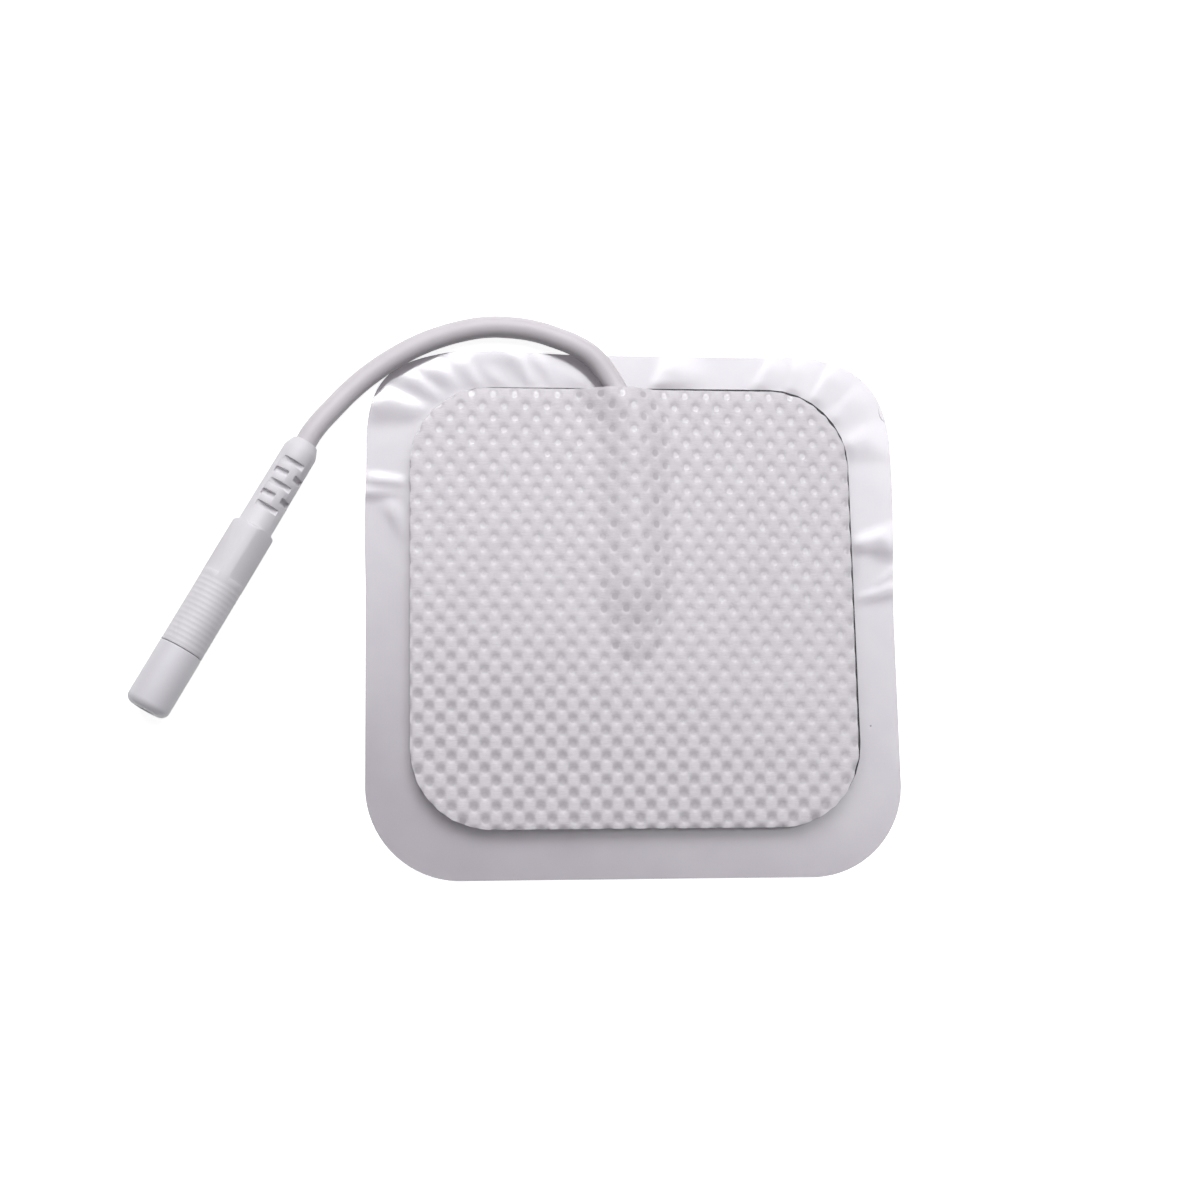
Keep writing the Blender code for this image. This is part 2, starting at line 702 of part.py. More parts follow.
def build_socket():
    """The brass socket: a split tube that springs on to the pin, with a crimp cup behind."""
    bore_end = SOCKET_FRONT + SOCKET_DEPTH
    cup_floor = SOCKET_REAR + SOCKET_WEB / 2
    profile = [
        (0, cup_floor),
        (CONDUCTOR_RADIUS + FIT, cup_floor),
        (CONDUCTOR_RADIUS + FIT, CRIMP_END),
        (CRIMP_RADIUS, CRIMP_END),
        (CRIMP_RADIUS, SOCKET_REAR),
        (SOCKET_RADIUS, SOCKET_REAR),
        (SOCKET_RADIUS, SOCKET_FRONT),
        (SOCKET_BORE_RADIUS, SOCKET_FRONT),
        (SOCKET_BORE_RADIUS, bore_end),
        (0, bore_end),
    ]
    socket = turned("socket_contact", profile, brass, loop=False)
    size = (4 * SOCKET_RADIUS, SOCKET_SLIT, 2 * SOCKET_SLIT_LENGTH)
    slit = boxes_mesh("socket_slit", [(size, Vector((0, 0, SOCKET_FRONT)), 90)])
    boolean(socket, add_cutter("socket_slit", slit, connector))
    return socket


def build_tail():
    """The stripped end of the conductor, from the end of the insulation into the crimp cup."""
    start = SOCKET_REAR + SOCKET_WEB / 2 + 2 * FIT
    end = LEAD_END - 3 * FIT
    bm = bmesh.new()
    bmesh.ops.create_cone(
        bm,
        cap_ends=True,
        segments=12,
        radius1=CONDUCTOR_RADIUS * 0.95,
        radius2=CONDUCTOR_RADIUS * 0.95,
        depth=end - start,
        matrix=Matrix.Translation((0, 0, (start + end) / 2)),
    )
    return add_object(
        "conductor_tail", mesh_from("conductor_tail", bm), electrode, tinned_copper, parent=connector
    )


def build_lead():
    """The insulated lead, from inside the pad, over the liner and the table, into the connector."""
    tube = poly_tube("lead_cord", lead_route, LEAD_RADIUS, LEAD_SIDES)
    return add_object("lead_cord", tube, electrode, lead_white)


clear_scene()
electrode = make_collection("electrode_pad")
cutters = make_collection("cutters", shown=False)

nonwoven_white = make_material("nonwoven_white", (0.68, 0.66, 0.67), 0.85)
carbon_black = make_material("carbon_black", (0.02, 0.02, 0.022), 0.6)
gel_clear = make_material("gel_clear", (0.78, 0.79, 0.78), 0.15, alpha=0.6)
liner_film = make_material("liner_film", (0.66, 0.64, 0.67), 0.15, alpha=0.8)
lead_white = make_material("lead_white", (0.70, 0.68, 0.70), 0.45)
moulded_white = make_material("moulded_white", (0.74, 0.73, 0.75), 0.45)
sleeve_white = make_material("sleeve_white", (0.76, 0.75, 0.77), 0.4)
brass = make_material("brass", (0.78, 0.62, 0.34), 0.3, metallic=1.0)
tinned_copper = make_material("tinned_copper", (0.72, 0.70, 0.68), 0.35, metallic=1.0)

lead_route = smooth_route([*lead_in_pad(), *lead_in_air(), *lead_in_connector()], LEAD_POINT_SPACING)
lead_fine = smooth_route(lead_route, LEAD_RADIUS / 2)
lead_plan = lead_under_backing()

connector = bpy.data.objects.new("connector_frame", None)
electrode.objects.link(connector)
connector.location = NOSE_END
connector.rotation_mode = "QUATERNION"
along = CONNECTOR_AXIS.to_track_quat("Z", "X")
connector.rotation_quaternion = along
bpy.context.view_layer.update()

build_liner()
build_gel()
build_film()
build_backing()
build_strands()
build_lead()
build_body()
build_nose()
build_socket()
build_tail()
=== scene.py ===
"""Looks of a square self-adhesive stimulation pad, on its release liner, with its lead and connector.

Everything is in metres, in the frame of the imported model: +Z up, +Y to the edge where the lead
comes out. The lead, the backing, the liner, the gel and the connector's two mouldings are
modelled here in finer detail than in the solids. The other nodes stay and get their finishes.
"""

import math

import bpy
from mathutils import Matrix, Vector


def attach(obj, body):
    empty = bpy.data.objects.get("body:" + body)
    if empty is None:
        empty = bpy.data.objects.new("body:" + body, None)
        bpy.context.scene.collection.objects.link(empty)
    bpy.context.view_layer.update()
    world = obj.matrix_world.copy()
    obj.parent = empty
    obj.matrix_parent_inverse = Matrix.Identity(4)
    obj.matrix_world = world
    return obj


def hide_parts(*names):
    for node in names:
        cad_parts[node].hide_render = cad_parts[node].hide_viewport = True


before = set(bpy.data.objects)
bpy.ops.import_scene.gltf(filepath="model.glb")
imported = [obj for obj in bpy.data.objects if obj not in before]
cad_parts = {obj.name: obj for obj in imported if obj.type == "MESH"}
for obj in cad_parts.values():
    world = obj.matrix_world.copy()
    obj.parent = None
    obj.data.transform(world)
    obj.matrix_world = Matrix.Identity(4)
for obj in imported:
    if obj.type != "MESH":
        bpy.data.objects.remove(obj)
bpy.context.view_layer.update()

MM = 0.001

# Liner and pad
LINER_HALF = 30.0
LINER_CORNER = 10.5
LINER_THICKNESS = 0.10
LINER_AIR = 0.02
PAD_HALF = 25.0
PAD_CORNER = 9.0
PAD_X = -0.1
PAD_Y = 0.45
GEL_BOTTOM = 0.14
GEL_TOP = 1.39
BACKING_BOTTOM = 1.55
BACKING_TOP = 2.00
BOND_X = 1.22
BOND_Y = 1.38
BOND_SHIFT_X = -0.98
BOND_SHIFT_Y = -0.57
BOND_DEPTH = 0.13

# Lead, from its inner end to the end of its insulation, about the pad's centre
LEAD_RADIUS = 1.22
LEAD_HEIGHT = 1.69
LEAD_IN_PAD = (
    (0.15, 3.0), (0.25, 8.0), (0.35, 13.0), (0.38, 17.6), (0.10, 21.0), (-0.52, 23.0), (-1.42, 24.9),
)
LEAD_IN_AIR = (
    (-2.40, 26.60, 0.48), (-4.00, 28.75, 0.50), (-5.90, 30.10, 0.42), (-8.30, 31.15, 0.26),
    (-10.90, 31.98, 0.12), (-13.60, 32.36, 0.04), (-16.30, 32.36, 0.04), (-19.00, 31.87, 0.08),
    (-21.60, 31.06, 0.16), (-24.11, 29.98, 0.25), (-26.53, 28.57, 0.36), (-28.85, 26.93, 0.50),
    (-31.18, 24.91, 0.68), (-33.27, 22.66, 0.93),
)
RIDGE_HEIGHT = 1.44
RIDGE_HALF_WIDTH = 5.0
RIDGE_FADE_LENGTH = 10.0

# Connector, stations from the end of its nose
CONNECTOR_ANGLE = 60.5
NOSE_END = (-53.67, -11.38, 2.5)
BARREL_RADIUS = 2.5
NOSE_LENGTH = 7.55
NOSE_ROUNDING = 0.95
RINGS_END = 16.118
RING_PITCH = 0.612
RING_DEPTH = 0.035
SHOULDER = 23.218
BOOT_TIP = 34.418
LEAD_END = 21.018
SPIGOT_END = 12.55
TURN_STEPS = 72


# Small tools


def start_fresh():
    """Leaves edit mode and deselects everything."""
    if bpy.context.object and bpy.context.object.mode != "OBJECT":
        bpy.ops.object.mode_set(mode="OBJECT")
    bpy.ops.object.select_all(action="DESELECT")


def edit(piece, mode="FACE"):
    """Opens one piece in edit mode with nothing selected."""
    start_fresh()
    piece.select_set(True)
    bpy.context.view_layer.objects.active = piece
    bpy.ops.object.mode_set(mode="EDIT")
    bpy.ops.mesh.select_mode(type=mode)
    bpy.ops.mesh.select_all(action="DESELECT")


def select_where(piece, kind, test):
    """Selects the polygons, edges or vertices of a piece in edit mode for which the test holds."""
    bpy.ops.object.mode_set(mode="OBJECT")
    for part in getattr(piece.data, kind):
        part.select = bool(test(part))
    bpy.ops.object.mode_set(mode="EDIT")


def named(name):
    piece = bpy.context.object
    piece.name = piece.data.name = name
    return piece


def settle(piece):
    """Puts the piece's place, turn and scale into its mesh."""
    start_fresh()
    piece.select_set(True)
    bpy.context.view_layer.objects.active = piece
    bpy.ops.object.transform_apply(location=True, rotation=True, scale=True)


def finish_with(piece, kind, **settings):
    """Adds a modifier and applies it."""
    start_fresh()
    piece.select_set(True)
    bpy.context.view_layer.objects.active = piece
    modifier = piece.modifiers.new(kind.lower(), kind)
    for setting, value in settings.items():
        setattr(modifier, setting, value)
    bpy.ops.object.modifier_apply(modifier=modifier.name)


def cut_with(piece, cutter, operation="DIFFERENCE"):
    """Cuts a piece with another mesh, which is then removed."""
    finish_with(piece, "BOOLEAN", object=cutter, operation=operation, solver="EXACT")
    bpy.data.objects.remove(cutter)


def shade(piece, degrees=35):
    start_fresh()
    piece.select_set(True)
    bpy.context.view_layer.objects.active = piece
    bpy.ops.object.shade_smooth_by_angle(angle=math.radians(degrees))


def smooth_step(value):
    value = min(1.0, max(0.0, value))
    return value * value * (3 - 2 * value)


def trim_to_outline(piece, half, corner, centre, planes=56):
    """Trims a sheet to a square with round corners, by one straight cut after another."""
    edit(piece)
    for number in range(planes):
        angle = 2 * math.pi * number / planes
        across, up = math.cos(angle), math.sin(angle)
        reach = ((half - corner) * (abs(across) + abs(up)) + corner) * MM
        bpy.ops.mesh.select_all(action="SELECT")
        bpy.ops.mesh.bisect(
            plane_co=(centre[0] + across * reach, centre[1] + up * reach, 0.0),
            plane_no=(across, up, 0.0),
            clear_outer=True,
            threshold=1e-7,
        )
    bpy.ops.object.mode_set(mode="OBJECT")


def inside_outline(x, y, half, corner):
    """Distance in millimetres from a point to the outline of a square with round corners, positive inside."""
    dx, dy = abs(x) - (half - corner), abs(y) - (half - corner)
    if dx > 0 and dy > 0:
        return corner - math.hypot(dx, dy)
    return corner - max(dx, dy)


# Camera: close above the lower left, as the photograph was taken


def set_up_camera():
    start_fresh()
    bpy.ops.object.camera_add()
    camera = bpy.context.object
    camera.name = "camera"
    camera.matrix_world = Matrix(
        (
            (0.99428, -0.00298, -0.10680, -0.0288),
            (-0.01701, 0.98244, -0.18583, -0.0423),
            (0.10547, 0.18658, 0.97676, 0.2293),
            (0, 0, 0, 1),
        )
    )
    camera.data.lens = 62.4
    camera.data.sensor_width = 36.0
    camera.data.clip_start = 0.001
    camera.data.clip_end = 20.0
    bpy.context.scene.camera = camera


# Lead


def connector_axis():
    angle = math.radians(CONNECTOR_ANGLE)
    return Vector((math.cos(angle), math.sin(angle), 0.0))


def lead_route():
    """The lead's points, from its inner end to the end of its insulation."""
    points = [Vector((PAD_X + x, PAD_Y + y, LEAD_HEIGHT)) for x, y in LEAD_IN_PAD]
    points += [Vector((PAD_X + x, PAD_Y + y, LEAD_RADIUS + z)) for x, y, z in LEAD_IN_AIR]
    for station in (BOOT_TIP + 1.4, BOOT_TIP, (BOOT_TIP + LEAD_END) / 2, LEAD_END):
        points.append(Vector(NOSE_END) + connector_axis() * station)
    return [point * MM for point in points]


def model_lead():
    start_fresh()
    bpy.ops.curve.primitive_bezier_curve_add()
    lead = named("lead")
    curve = lead.data
    curve.splines.clear()
    spline = curve.splines.new("BEZIER")
    route = lead_route()
    spline.bezier_points.add(len(route) - 1)
    # A point's radius scales the bevel and counts in the curve's box, so it carries the millimetre
    for knot, place in zip(spline.bezier_points, route):
        knot.co = place
        knot.radius = MM
        knot.handle_left_type = knot.handle_right_type = "AUTO"
    curve.dimensions = "3D"
    curve.resolution_u = 12
    curve.bevel_depth = LEAD_RADIUS
    curve.bevel_resolution = 7
    curve.use_fill_caps = True
    return lead, route


def lead_tube(name, route, radius):
    """A closed tube round the stretch of the lead that lies in the pad, for cutting its groove."""
    start_fresh()
    bpy.ops.curve.primitive_bezier_curve_add()
    tube = named(name)
    tube.data.splines.clear()
    spline = tube.data.splines.new("POLY")
    points = [route[0] - Vector((0, 1.6 * MM, 0)), *route]
    spline.points.add(len(points) - 1)
    for knot, place in zip(spline.points, points):
        knot.co = (*place, 1.0)
    tube.data.dimensions = "3D"
    tube.data.bevel_depth = radius * MM
    tube.data.bevel_resolution = 8
    tube.data.use_fill_caps = True
    tube.select_set(True)
    bpy.ops.object.convert(target="MESH")
    edit(tube, "VERT")
    bpy.ops.mesh.select_all(action="SELECT")
    bpy.ops.mesh.remove_doubles(threshold=1e-7)
    bpy.ops.mesh.normals_make_consistent(inside=False)
    bpy.ops.object.mode_set(mode="OBJECT")
    return tube


# Pad


def lift_over_lead(x, y):
    """How far the backing is lifted at a point: a ridge over the lead, a low swelling over the strands."""
    path = [(PAD_X + px, PAD_Y + py) for px, py in LEAD_IN_PAD] + [
        (PAD_X + px, PAD_Y + py) for px, py, _ in LEAD_IN_AIR[:2]
    ]
    near_y = y
    if y < path[0][1]:
        near_y = path[0][1] + (y - path[0][1]) * RIDGE_HALF_WIDTH / RIDGE_FADE_LENGTH
    best = 99.0
    for (ax, ay), (bx, by) in zip(path, path[1:]):
        along = ((x - ax) * (bx - ax) + (near_y - ay) * (by - ay)) / ((bx - ax) ** 2 + (by - ay) ** 2)
        along = min(1.0, max(0.0, along))
        best = min(best, math.hypot(ax + (bx - ax) * along - x, ay + (by - ay) * along - near_y))
    ridge = math.cos(math.pi / 2 * min(1.0, best / RIDGE_HALF_WIDTH)) ** 2 * (RIDGE_HEIGHT - 0.12)
    across = (x - path[0][0]) / 3.96
    down = (y - path[0][1] + 2.79) / 7.13
    swelling = 0.36 * smooth_step((1.0 - math.hypot(across, down)) / 0.35)
    return max(ridge, swelling)


def bond_wave(x, y):
    """One at a bond point, minus one at the crossings of the ridges."""
    across = math.pi * (x - PAD_X - BOND_SHIFT_X) / BOND_X
    up = math.pi * (y - PAD_Y - BOND_SHIFT_Y) / BOND_Y
    return (math.cos(across + up) + math.cos(across - up)) / 2


def model_backing():
    """The non-woven: a lattice of diamond cells, each pressed down to its bond point, lifted over the lead."""
    start_fresh()
    cells = 43
    bpy.ops.mesh.primitive_grid_add(
        x_subdivisions=cells,
        y_subdivisions=cells,
        size=cells * MM,
        location=((PAD_X + BOND_SHIFT_X) * MM, (PAD_Y + BOND_SHIFT_Y) * MM, BACKING_TOP * MM),
        rotation=(0, 0, math.pi / 4),
    )
    cloth = named("backing_cloth")
    bpy.ops.object.transform_apply(location=False, rotation=True, scale=True)
    cloth.scale = (BOND_X * math.sqrt(2), BOND_Y * math.sqrt(2), 1)
    settle(cloth)
    edit(cloth)
    beyond = (PAD_HALF + 2.2) * MM
    select_where(
        cloth,
        "polygons",
        lambda face: max(abs(face.center.x - PAD_X * MM), abs(face.center.y - PAD_Y * MM)) > beyond,
    )
    bpy.ops.mesh.delete(type="FACE")
    bpy.ops.mesh.select_all(action="SELECT")
    bpy.ops.mesh.inset(thickness=0.16 * MM, depth=-0.02 * MM, use_individual=True)
    bpy.ops.mesh.inset(thickness=0.32 * MM, depth=-(BOND_DEPTH - 0.03) * MM, use_individual=True)
    bpy.ops.mesh.inset(thickness=0.07 * MM, depth=-0.01 * MM, use_individual=True)
    bpy.ops.object.mode_set(mode="OBJECT")
    finish_with(cloth, "SUBSURF", levels=1, render_levels=1)

    start_fresh()
    bpy.ops.mesh.primitive_grid_add(
        x_subdivisions=60,
        y_subdivisions=60,
        size=(2 * PAD_HALF + 3) * MM,
        location=(PAD_X * MM, PAD_Y * MM, BACKING_BOTTOM * MM),
        rotation=(math.pi, 0, 0),
    )
    under = named("backing_underside")
    settle(under)
    centre = (PAD_X * MM, PAD_Y * MM)
    trim_to_outline(cloth, PAD_HALF, PAD_CORNER, centre)
    trim_to_outline(under, PAD_HALF, PAD_CORNER, centre)
    start_fresh()
    under.select_set(True)
    cloth.select_set(True)
    bpy.context.view_layer.objects.active = cloth
    bpy.ops.object.join()
    edit(cloth, "EDGE")
    bpy.ops.mesh.select_non_manifold(
        extend=False, use_wire=False, use_boundary=True, use_multi_face=False, use_non_contiguous=False,
        use_verts=False,
    )
    bpy.ops.mesh.bridge_edge_loops()
    bpy.ops.mesh.select_all(action="SELECT")
    bpy.ops.mesh.normals_make_consistent(inside=False)
    bpy.ops.object.mode_set(mode="OBJECT")
    middle = (BACKING_BOTTOM + BACKING_TOP) / 2 * MM
    for vertex in cloth.data.vertices:
        x, y = vertex.co.x / MM, vertex.co.y / MM
        rim = 1 - smooth_step(inside_outline(x - PAD_X, y - PAD_Y, PAD_HALF, PAD_CORNER) / 0.7)
        if vertex.co.z > middle:
            vertex.co.z -= 0.13 * rim * rim * MM
        vertex.co.z += lift_over_lead(x, y) * MM
        # The cut edge is drawn in a little at each bond point
        drawn_in = 0.06 * rim * bond_wave(x, y) / PAD_HALF
        vertex.co.x -= drawn_in * (x - PAD_X) * MM
        vertex.co.y -= drawn_in * (y - PAD_Y) * MM
    shade(cloth, 60)
    return cloth


def model_gel(route):
    """The gel: a slab with soft, rounded edges, and the groove that the lead presses into it."""
    start_fresh()
    height = GEL_TOP - GEL_BOTTOM
    bpy.ops.mesh.primitive_cube_add(
        size=1, location=(PAD_X * MM, PAD_Y * MM, (GEL_BOTTOM + height / 2) * MM),
        scale=(2 * (PAD_HALF - 0.12) * MM, 2 * (PAD_HALF - 0.12) * MM, height * MM),
    )
    gel = named("gel_slab")
    settle(gel)
    edit(gel, "EDGE")
    mesh = gel.data
    select_where(
        gel, "edges",
        lambda edge: abs(mesh.vertices[edge.vertices[0]].co.z - mesh.vertices[edge.vertices[1]].co.z) > 1e-4,
    )
    bpy.ops.mesh.bevel(offset=(PAD_CORNER - 0.12) * MM, segments=14, affect="EDGES")
    bpy.ops.object.mode_set(mode="OBJECT")
    edit(gel, "FACE")
    select_where(gel, "polygons", lambda face: abs(face.normal.z) > 0.9)
    bpy.ops.mesh.inset(thickness=0.30 * MM)
    bpy.ops.object.mode_set(mode="OBJECT")
    edit(gel, "EDGE")
    low, high = GEL_BOTTOM * MM, GEL_TOP * MM
    select_where(
        gel, "edges",
        lambda edge: all(
            min(abs(mesh.vertices[v].co.z - low), abs(mesh.vertices[v].co.z - high)) < 1e-6
            and inside_outline(
                mesh.vertices[v].co.x / MM - PAD_X, mesh.vertices[v].co.y / MM - PAD_Y,
                PAD_HALF, PAD_CORNER,
            ) < 0.2
            for v in edge.vertices
        ),
    )
    bpy.ops.mesh.bevel(offset=0.26 * MM, segments=4, affect="EDGES")
    bpy.ops.object.mode_set(mode="OBJECT")
    cut_with(gel, lead_tube("gel_groove", route[:10], LEAD_RADIUS + 0.17))
    shade(gel, 50)
    return gel


# Flutes of the liner's free rim: a point in the middle of the flank that catches the light, the
# flute's direction out of the pad, half its width and its steepest slope, in millimetres and degrees
FLUTES = (
    (-21.7, 28.7, 138, 1.5, 0.093),
    (-23.5, 26.9, 136, 1.2, 0.105),
    (-26.1, 24.6, 160, 1.7, 0.115),
    (-17.2, 26.9, 121, 0.9, 0.088),
    (-14.0, 26.3, 134, 0.7, 0.077),
    (-11.9, 28.7, 117, 0.9, 0.093),
    (-8.8, 27.8, 119, 0.6, 0.093),
    (-7.7, 27.9, 119, 0.6, 0.077),
    (-4.7, 27.0, 128, 1.0, 0.083),
    (3.4, 27.7, 63, 2.2, 0.077),
    (15.3, 27.8, 59, 1.3, 0.093),
    (18.9, 27.5, 73, 1.5, 0.105),
    (22.1, 26.7, 59, 1.6, 0.115),
    (24.3, 24.1, 55, 1.3, 0.099),
    (25.8, 20.6, 27, 1.7, 0.088),
    (27.5, 9.1, 19, 1.7, 0.148),
    (26.2, 6.4, 54, 0.9, 0.088),
    (29.4, 4.8, 44, 0.8, 0.121),
    (28.5, 2.9, 22, 1.0, 0.137),
    (-26.9, 15.4, 172, 0.9, 0.121),
    (-28.8, 14.1, 175, 0.8, 0.121),
    (-25.7, 10.1, 111, 0.8, 0.088),
)


def swell(place, middle, half_length):
    """A soft bump along a line: one in the middle, none beyond its half length."""
    return math.cos(math.pi / 2 * min(1.0, abs(place - middle) / half_length)) ** 2


def edge_bow(x, y):
    """How far the liner's edge bows out at a point, sideways and upwards in plan."""
    sideways = 0.0
    if x > 0:
        sideways = 0.47 * swell(y, 14.5, 16) * smooth_step((x - 20) / 5)
    else:
        sideways = -0.16 * swell(y, 9.5, 9) * smooth_step((-20 - x) / 5)
    upwards = (0.35 * swell(x, -15, 10.5) + 0.12 * swell(x, 22, 9)) * smooth_step((y - 18) / 6)
    turn = math.degrees(math.atan2(y - 19.5, abs(x) - 19.5))
    corner = (0.42 if x < 0 else 0.38) * swell(turn, 42, 42)
    return sideways + math.copysign(corner, x), upwards + corner


def liner_height(x, y, route):
    """Height of the liner at a point: flat under the pad and the lead, fluted and curled outside."""
    free = -inside_outline(x - PAD_X, y - PAD_Y, PAD_HALF + 0.2, PAD_CORNER + 0.2)
    if free <= 0:
        return 0.0
    share = min(1.0, free / (LINER_HALF - PAD_HALF))
    height = 0.0
    for flank_x, flank_y, turn, half_width, slope in FLUTES:
        direction = math.radians(turn)
        out_x, out_y = math.cos(direction), math.sin(direction)
        side = 1 if out_x > 0 else -1
        along = (x - flank_x) * out_x + (y - flank_y) * out_y
        across = (y - flank_y) * out_x - (x - flank_x) * out_y
        width = half_width * (1 + 0.12 * min(2.5, max(-2.5, along)))
        # The flank that faces the light is the steeper one
        across = side * across + width / 2
        reach = width if across > 0 else 1.8 * width
        if abs(across) < reach and abs(along) < 4.5:
            fade = smooth_step((4.5 - abs(along)) / 3.5)
            crest = slope * width * 2 / math.pi * math.cos(math.pi / 2 * across / reach) ** 2 * fade
            height = max(height, crest)
    lead = min(math.hypot(x - p.x, y - p.y) for p in route)
    curl = 0.12 * swell(x, -15, 10.5) * smooth_step((y - 18) / 6) * share**1.5
    rise = height * smooth_step(free / 1.2) + curl
    return rise * smooth_step((lead - LEAD_RADIUS) / 2.5)


def model_liner(route):
    start_fresh()
    bpy.ops.mesh.primitive_grid_add(x_subdivisions=150, y_subdivisions=150, size=(2 * LINER_HALF + 1) * MM)
    liner = named("liner_film")
    trim_to_outline(liner, LINER_HALF, LINER_CORNER, (0, 0), planes=72)
    fine = []
    for a, b in zip(route, route[1:]):
        fine += [a.lerp(b, step / 6) / MM for step in range(6)]
    for vertex in liner.data.vertices:
        x, y = vertex.co.x / MM, vertex.co.y / MM
        vertex.co.z = (LINER_AIR + liner_height(x, y, fine)) * MM
        free = -inside_outline(x - PAD_X, y - PAD_Y, PAD_HALF, PAD_CORNER)
        sideways, upwards = edge_bow(x, y)
        vertex.co.x += sideways * max(0.0, free / (LINER_HALF - PAD_HALF)) * MM
        vertex.co.y += upwards * max(0.0, free / (LINER_HALF - PAD_HALF)) * MM
    finish_with(liner, "SOLIDIFY", thickness=LINER_THICKNESS * MM, offset=1.0)
    shade(liner, 45)
    return liner


# Connector


def on_connector(piece):
    """Moves a piece that stands on its nose end at the origin to the connector's place."""
    along = connector_axis()
    up = Vector((0, 0, 1))
    side = along.cross(up)
    place = Matrix((up, side, along)).transposed().to_4x4()
    place.translation = Vector(NOSE_END) * MM
    piece.matrix_world = place
    settle(piece)


def turned(name, profile, closed=True):
    """A turned piece: its profile, radius and station, is drawn and spun round the axis."""
    start_fresh()
    mesh = bpy.data.meshes.new(name)
    count = len(profile)
    edges = [(i, (i + 1) % count) for i in range(count if closed else count - 1)]
    mesh.from_pydata([(radius * MM, 0, station * MM) for radius, station in profile], edges, [])
    piece = bpy.data.objects.new(name, mesh)
    bpy.context.scene.collection.objects.link(piece)
    edit(piece, "VERT")
    bpy.ops.mesh.select_all(action="SELECT")
    bpy.ops.mesh.spin(steps=TURN_STEPS, angle=2 * math.pi, center=(0, 0, 0), axis=(0, 0, 1))
    bpy.ops.mesh.select_all(action="SELECT")
    bpy.ops.mesh.remove_doubles(threshold=1e-6)
    bpy.ops.mesh.normals_make_consistent(inside=False)
    bpy.ops.object.mode_set(mode="OBJECT")
    # Ring-shaped pieces can come out facing inward, and the cuts need them facing outward
    outermost = max(piece.data.polygons, key=lambda face: face.center.xy.length)
    if outermost.normal.xy.dot(outermost.center.xy) < 0:
        edit(piece)
        bpy.ops.mesh.select_all(action="SELECT")
        bpy.ops.mesh.flip_normals()
        bpy.ops.object.mode_set(mode="OBJECT")
    return piece


def arc(centre_radius, centre_station, size, start, end, steps):
    """Points on a round edge of a profile, angles in degrees from the outward direction."""
    points = []
    for step in range(steps + 1):
        angle = math.radians(start + (end - start) * step / steps)
        points.append((centre_radius + size * math.cos(angle), centre_station + size * math.sin(angle)))
    return points


def block(size, centre, turn, soften=0.0):
    """A cutting block on the connector's axis, with its edges softened."""
    start_fresh()
    bpy.ops.mesh.primitive_cube_add(size=1, scale=[s * MM for s in size])
    cutter = named("cutting_block")
    settle(cutter)
    if soften:
        edit(cutter, "EDGE")
        bpy.ops.mesh.select_all(action="SELECT")
        bpy.ops.mesh.bevel(offset=soften * MM, segments=3, affect="EDGES")
        bpy.ops.object.mode_set(mode="OBJECT")
    turn = Matrix.Rotation(math.radians(turn), 4, "Z")
    cutter.matrix_world = turn @ Matrix.Translation([c * MM for c in centre])
    settle(cutter)
    return cutter


def body_profile():
    front = NOSE_LENGTH + 0.02
    outside = [
        (1.30, BOOT_TIP),
        *arc(1.30, BOOT_TIP - 0.25, 0.25, 70, 10, 4),
        (1.86, BOOT_TIP - 0.90),
        (1.97, BOOT_TIP - 1.3),
        (1.96, BOOT_TIP - 2.2),
        (2.03, SHOULDER + 0.12),
        (2.06, SHOULDER + 0.03),
        *arc(BARREL_RADIUS - 0.45, SHOULDER - 0.45, 0.45, 90, 0, 7),
        (BARREL_RADIUS, RINGS_END + 0.9),
    ]
    for number in range(14):
        start = RINGS_END - number * RING_PITCH
        outside += [
            (BARREL_RADIUS, start),
            (BARREL_RADIUS - 0.015, start - 0.10),
            (BARREL_RADIUS - RING_DEPTH, start - 0.31),
            (BARREL_RADIUS - 0.015, start - 0.51),
        ]
    outside += [
        (BARREL_RADIUS, front + 0.26),
        (BARREL_RADIUS - 0.04, front + 0.12),
        (BARREL_RADIUS - 0.18, front),
    ]
    cavity = [
        (1.88, front), (1.88, SPIGOT_END + 0.03), (1.53, SPIGOT_END + 0.03), (1.53, 14.46), (1.13, 14.46),
        (1.13, 18.26), (0.53, 18.26), (0.53, LEAD_END - 0.06), (1.255, LEAD_END - 0.06), (1.255, BOOT_TIP),
    ]
    return outside + cavity


def model_connector_body():
    """The soft moulding: slotted boot, barrel with four finger flats, ringed grip."""
    body = turned("connector_moulding", body_profile())
    for turn in (50, 140, 230, 320):
        depth, length = BARREL_RADIUS - 2.16, SHOULDER - RINGS_END
        centre = (2.16 + depth, 0, RINGS_END + RING_PITCH + length / 2)
        cut_with(body, block((2 * depth, 5.0, length), centre, turn))
    for number in range(5):
        station = BOOT_TIP - 3.0 - number * 1.45
        wide = number % 2 == 0
        for side in (0, 180):
            for turn in (0,) if wide else (-22, 52):
                size = (1.14, 2.64 if wide else 1.70, 0.70)
                cut_with(body, block(size, (2.03, 0, station), 9 + side + turn, soften=0.12))
    finish_with(
        body, "BEVEL", width=0.05 * MM, segments=2, limit_method="ANGLE", angle_limit=math.radians(38),
        use_clamp_overlap=True,
    )
    shade(body, 40)
    on_connector(body)
    return body


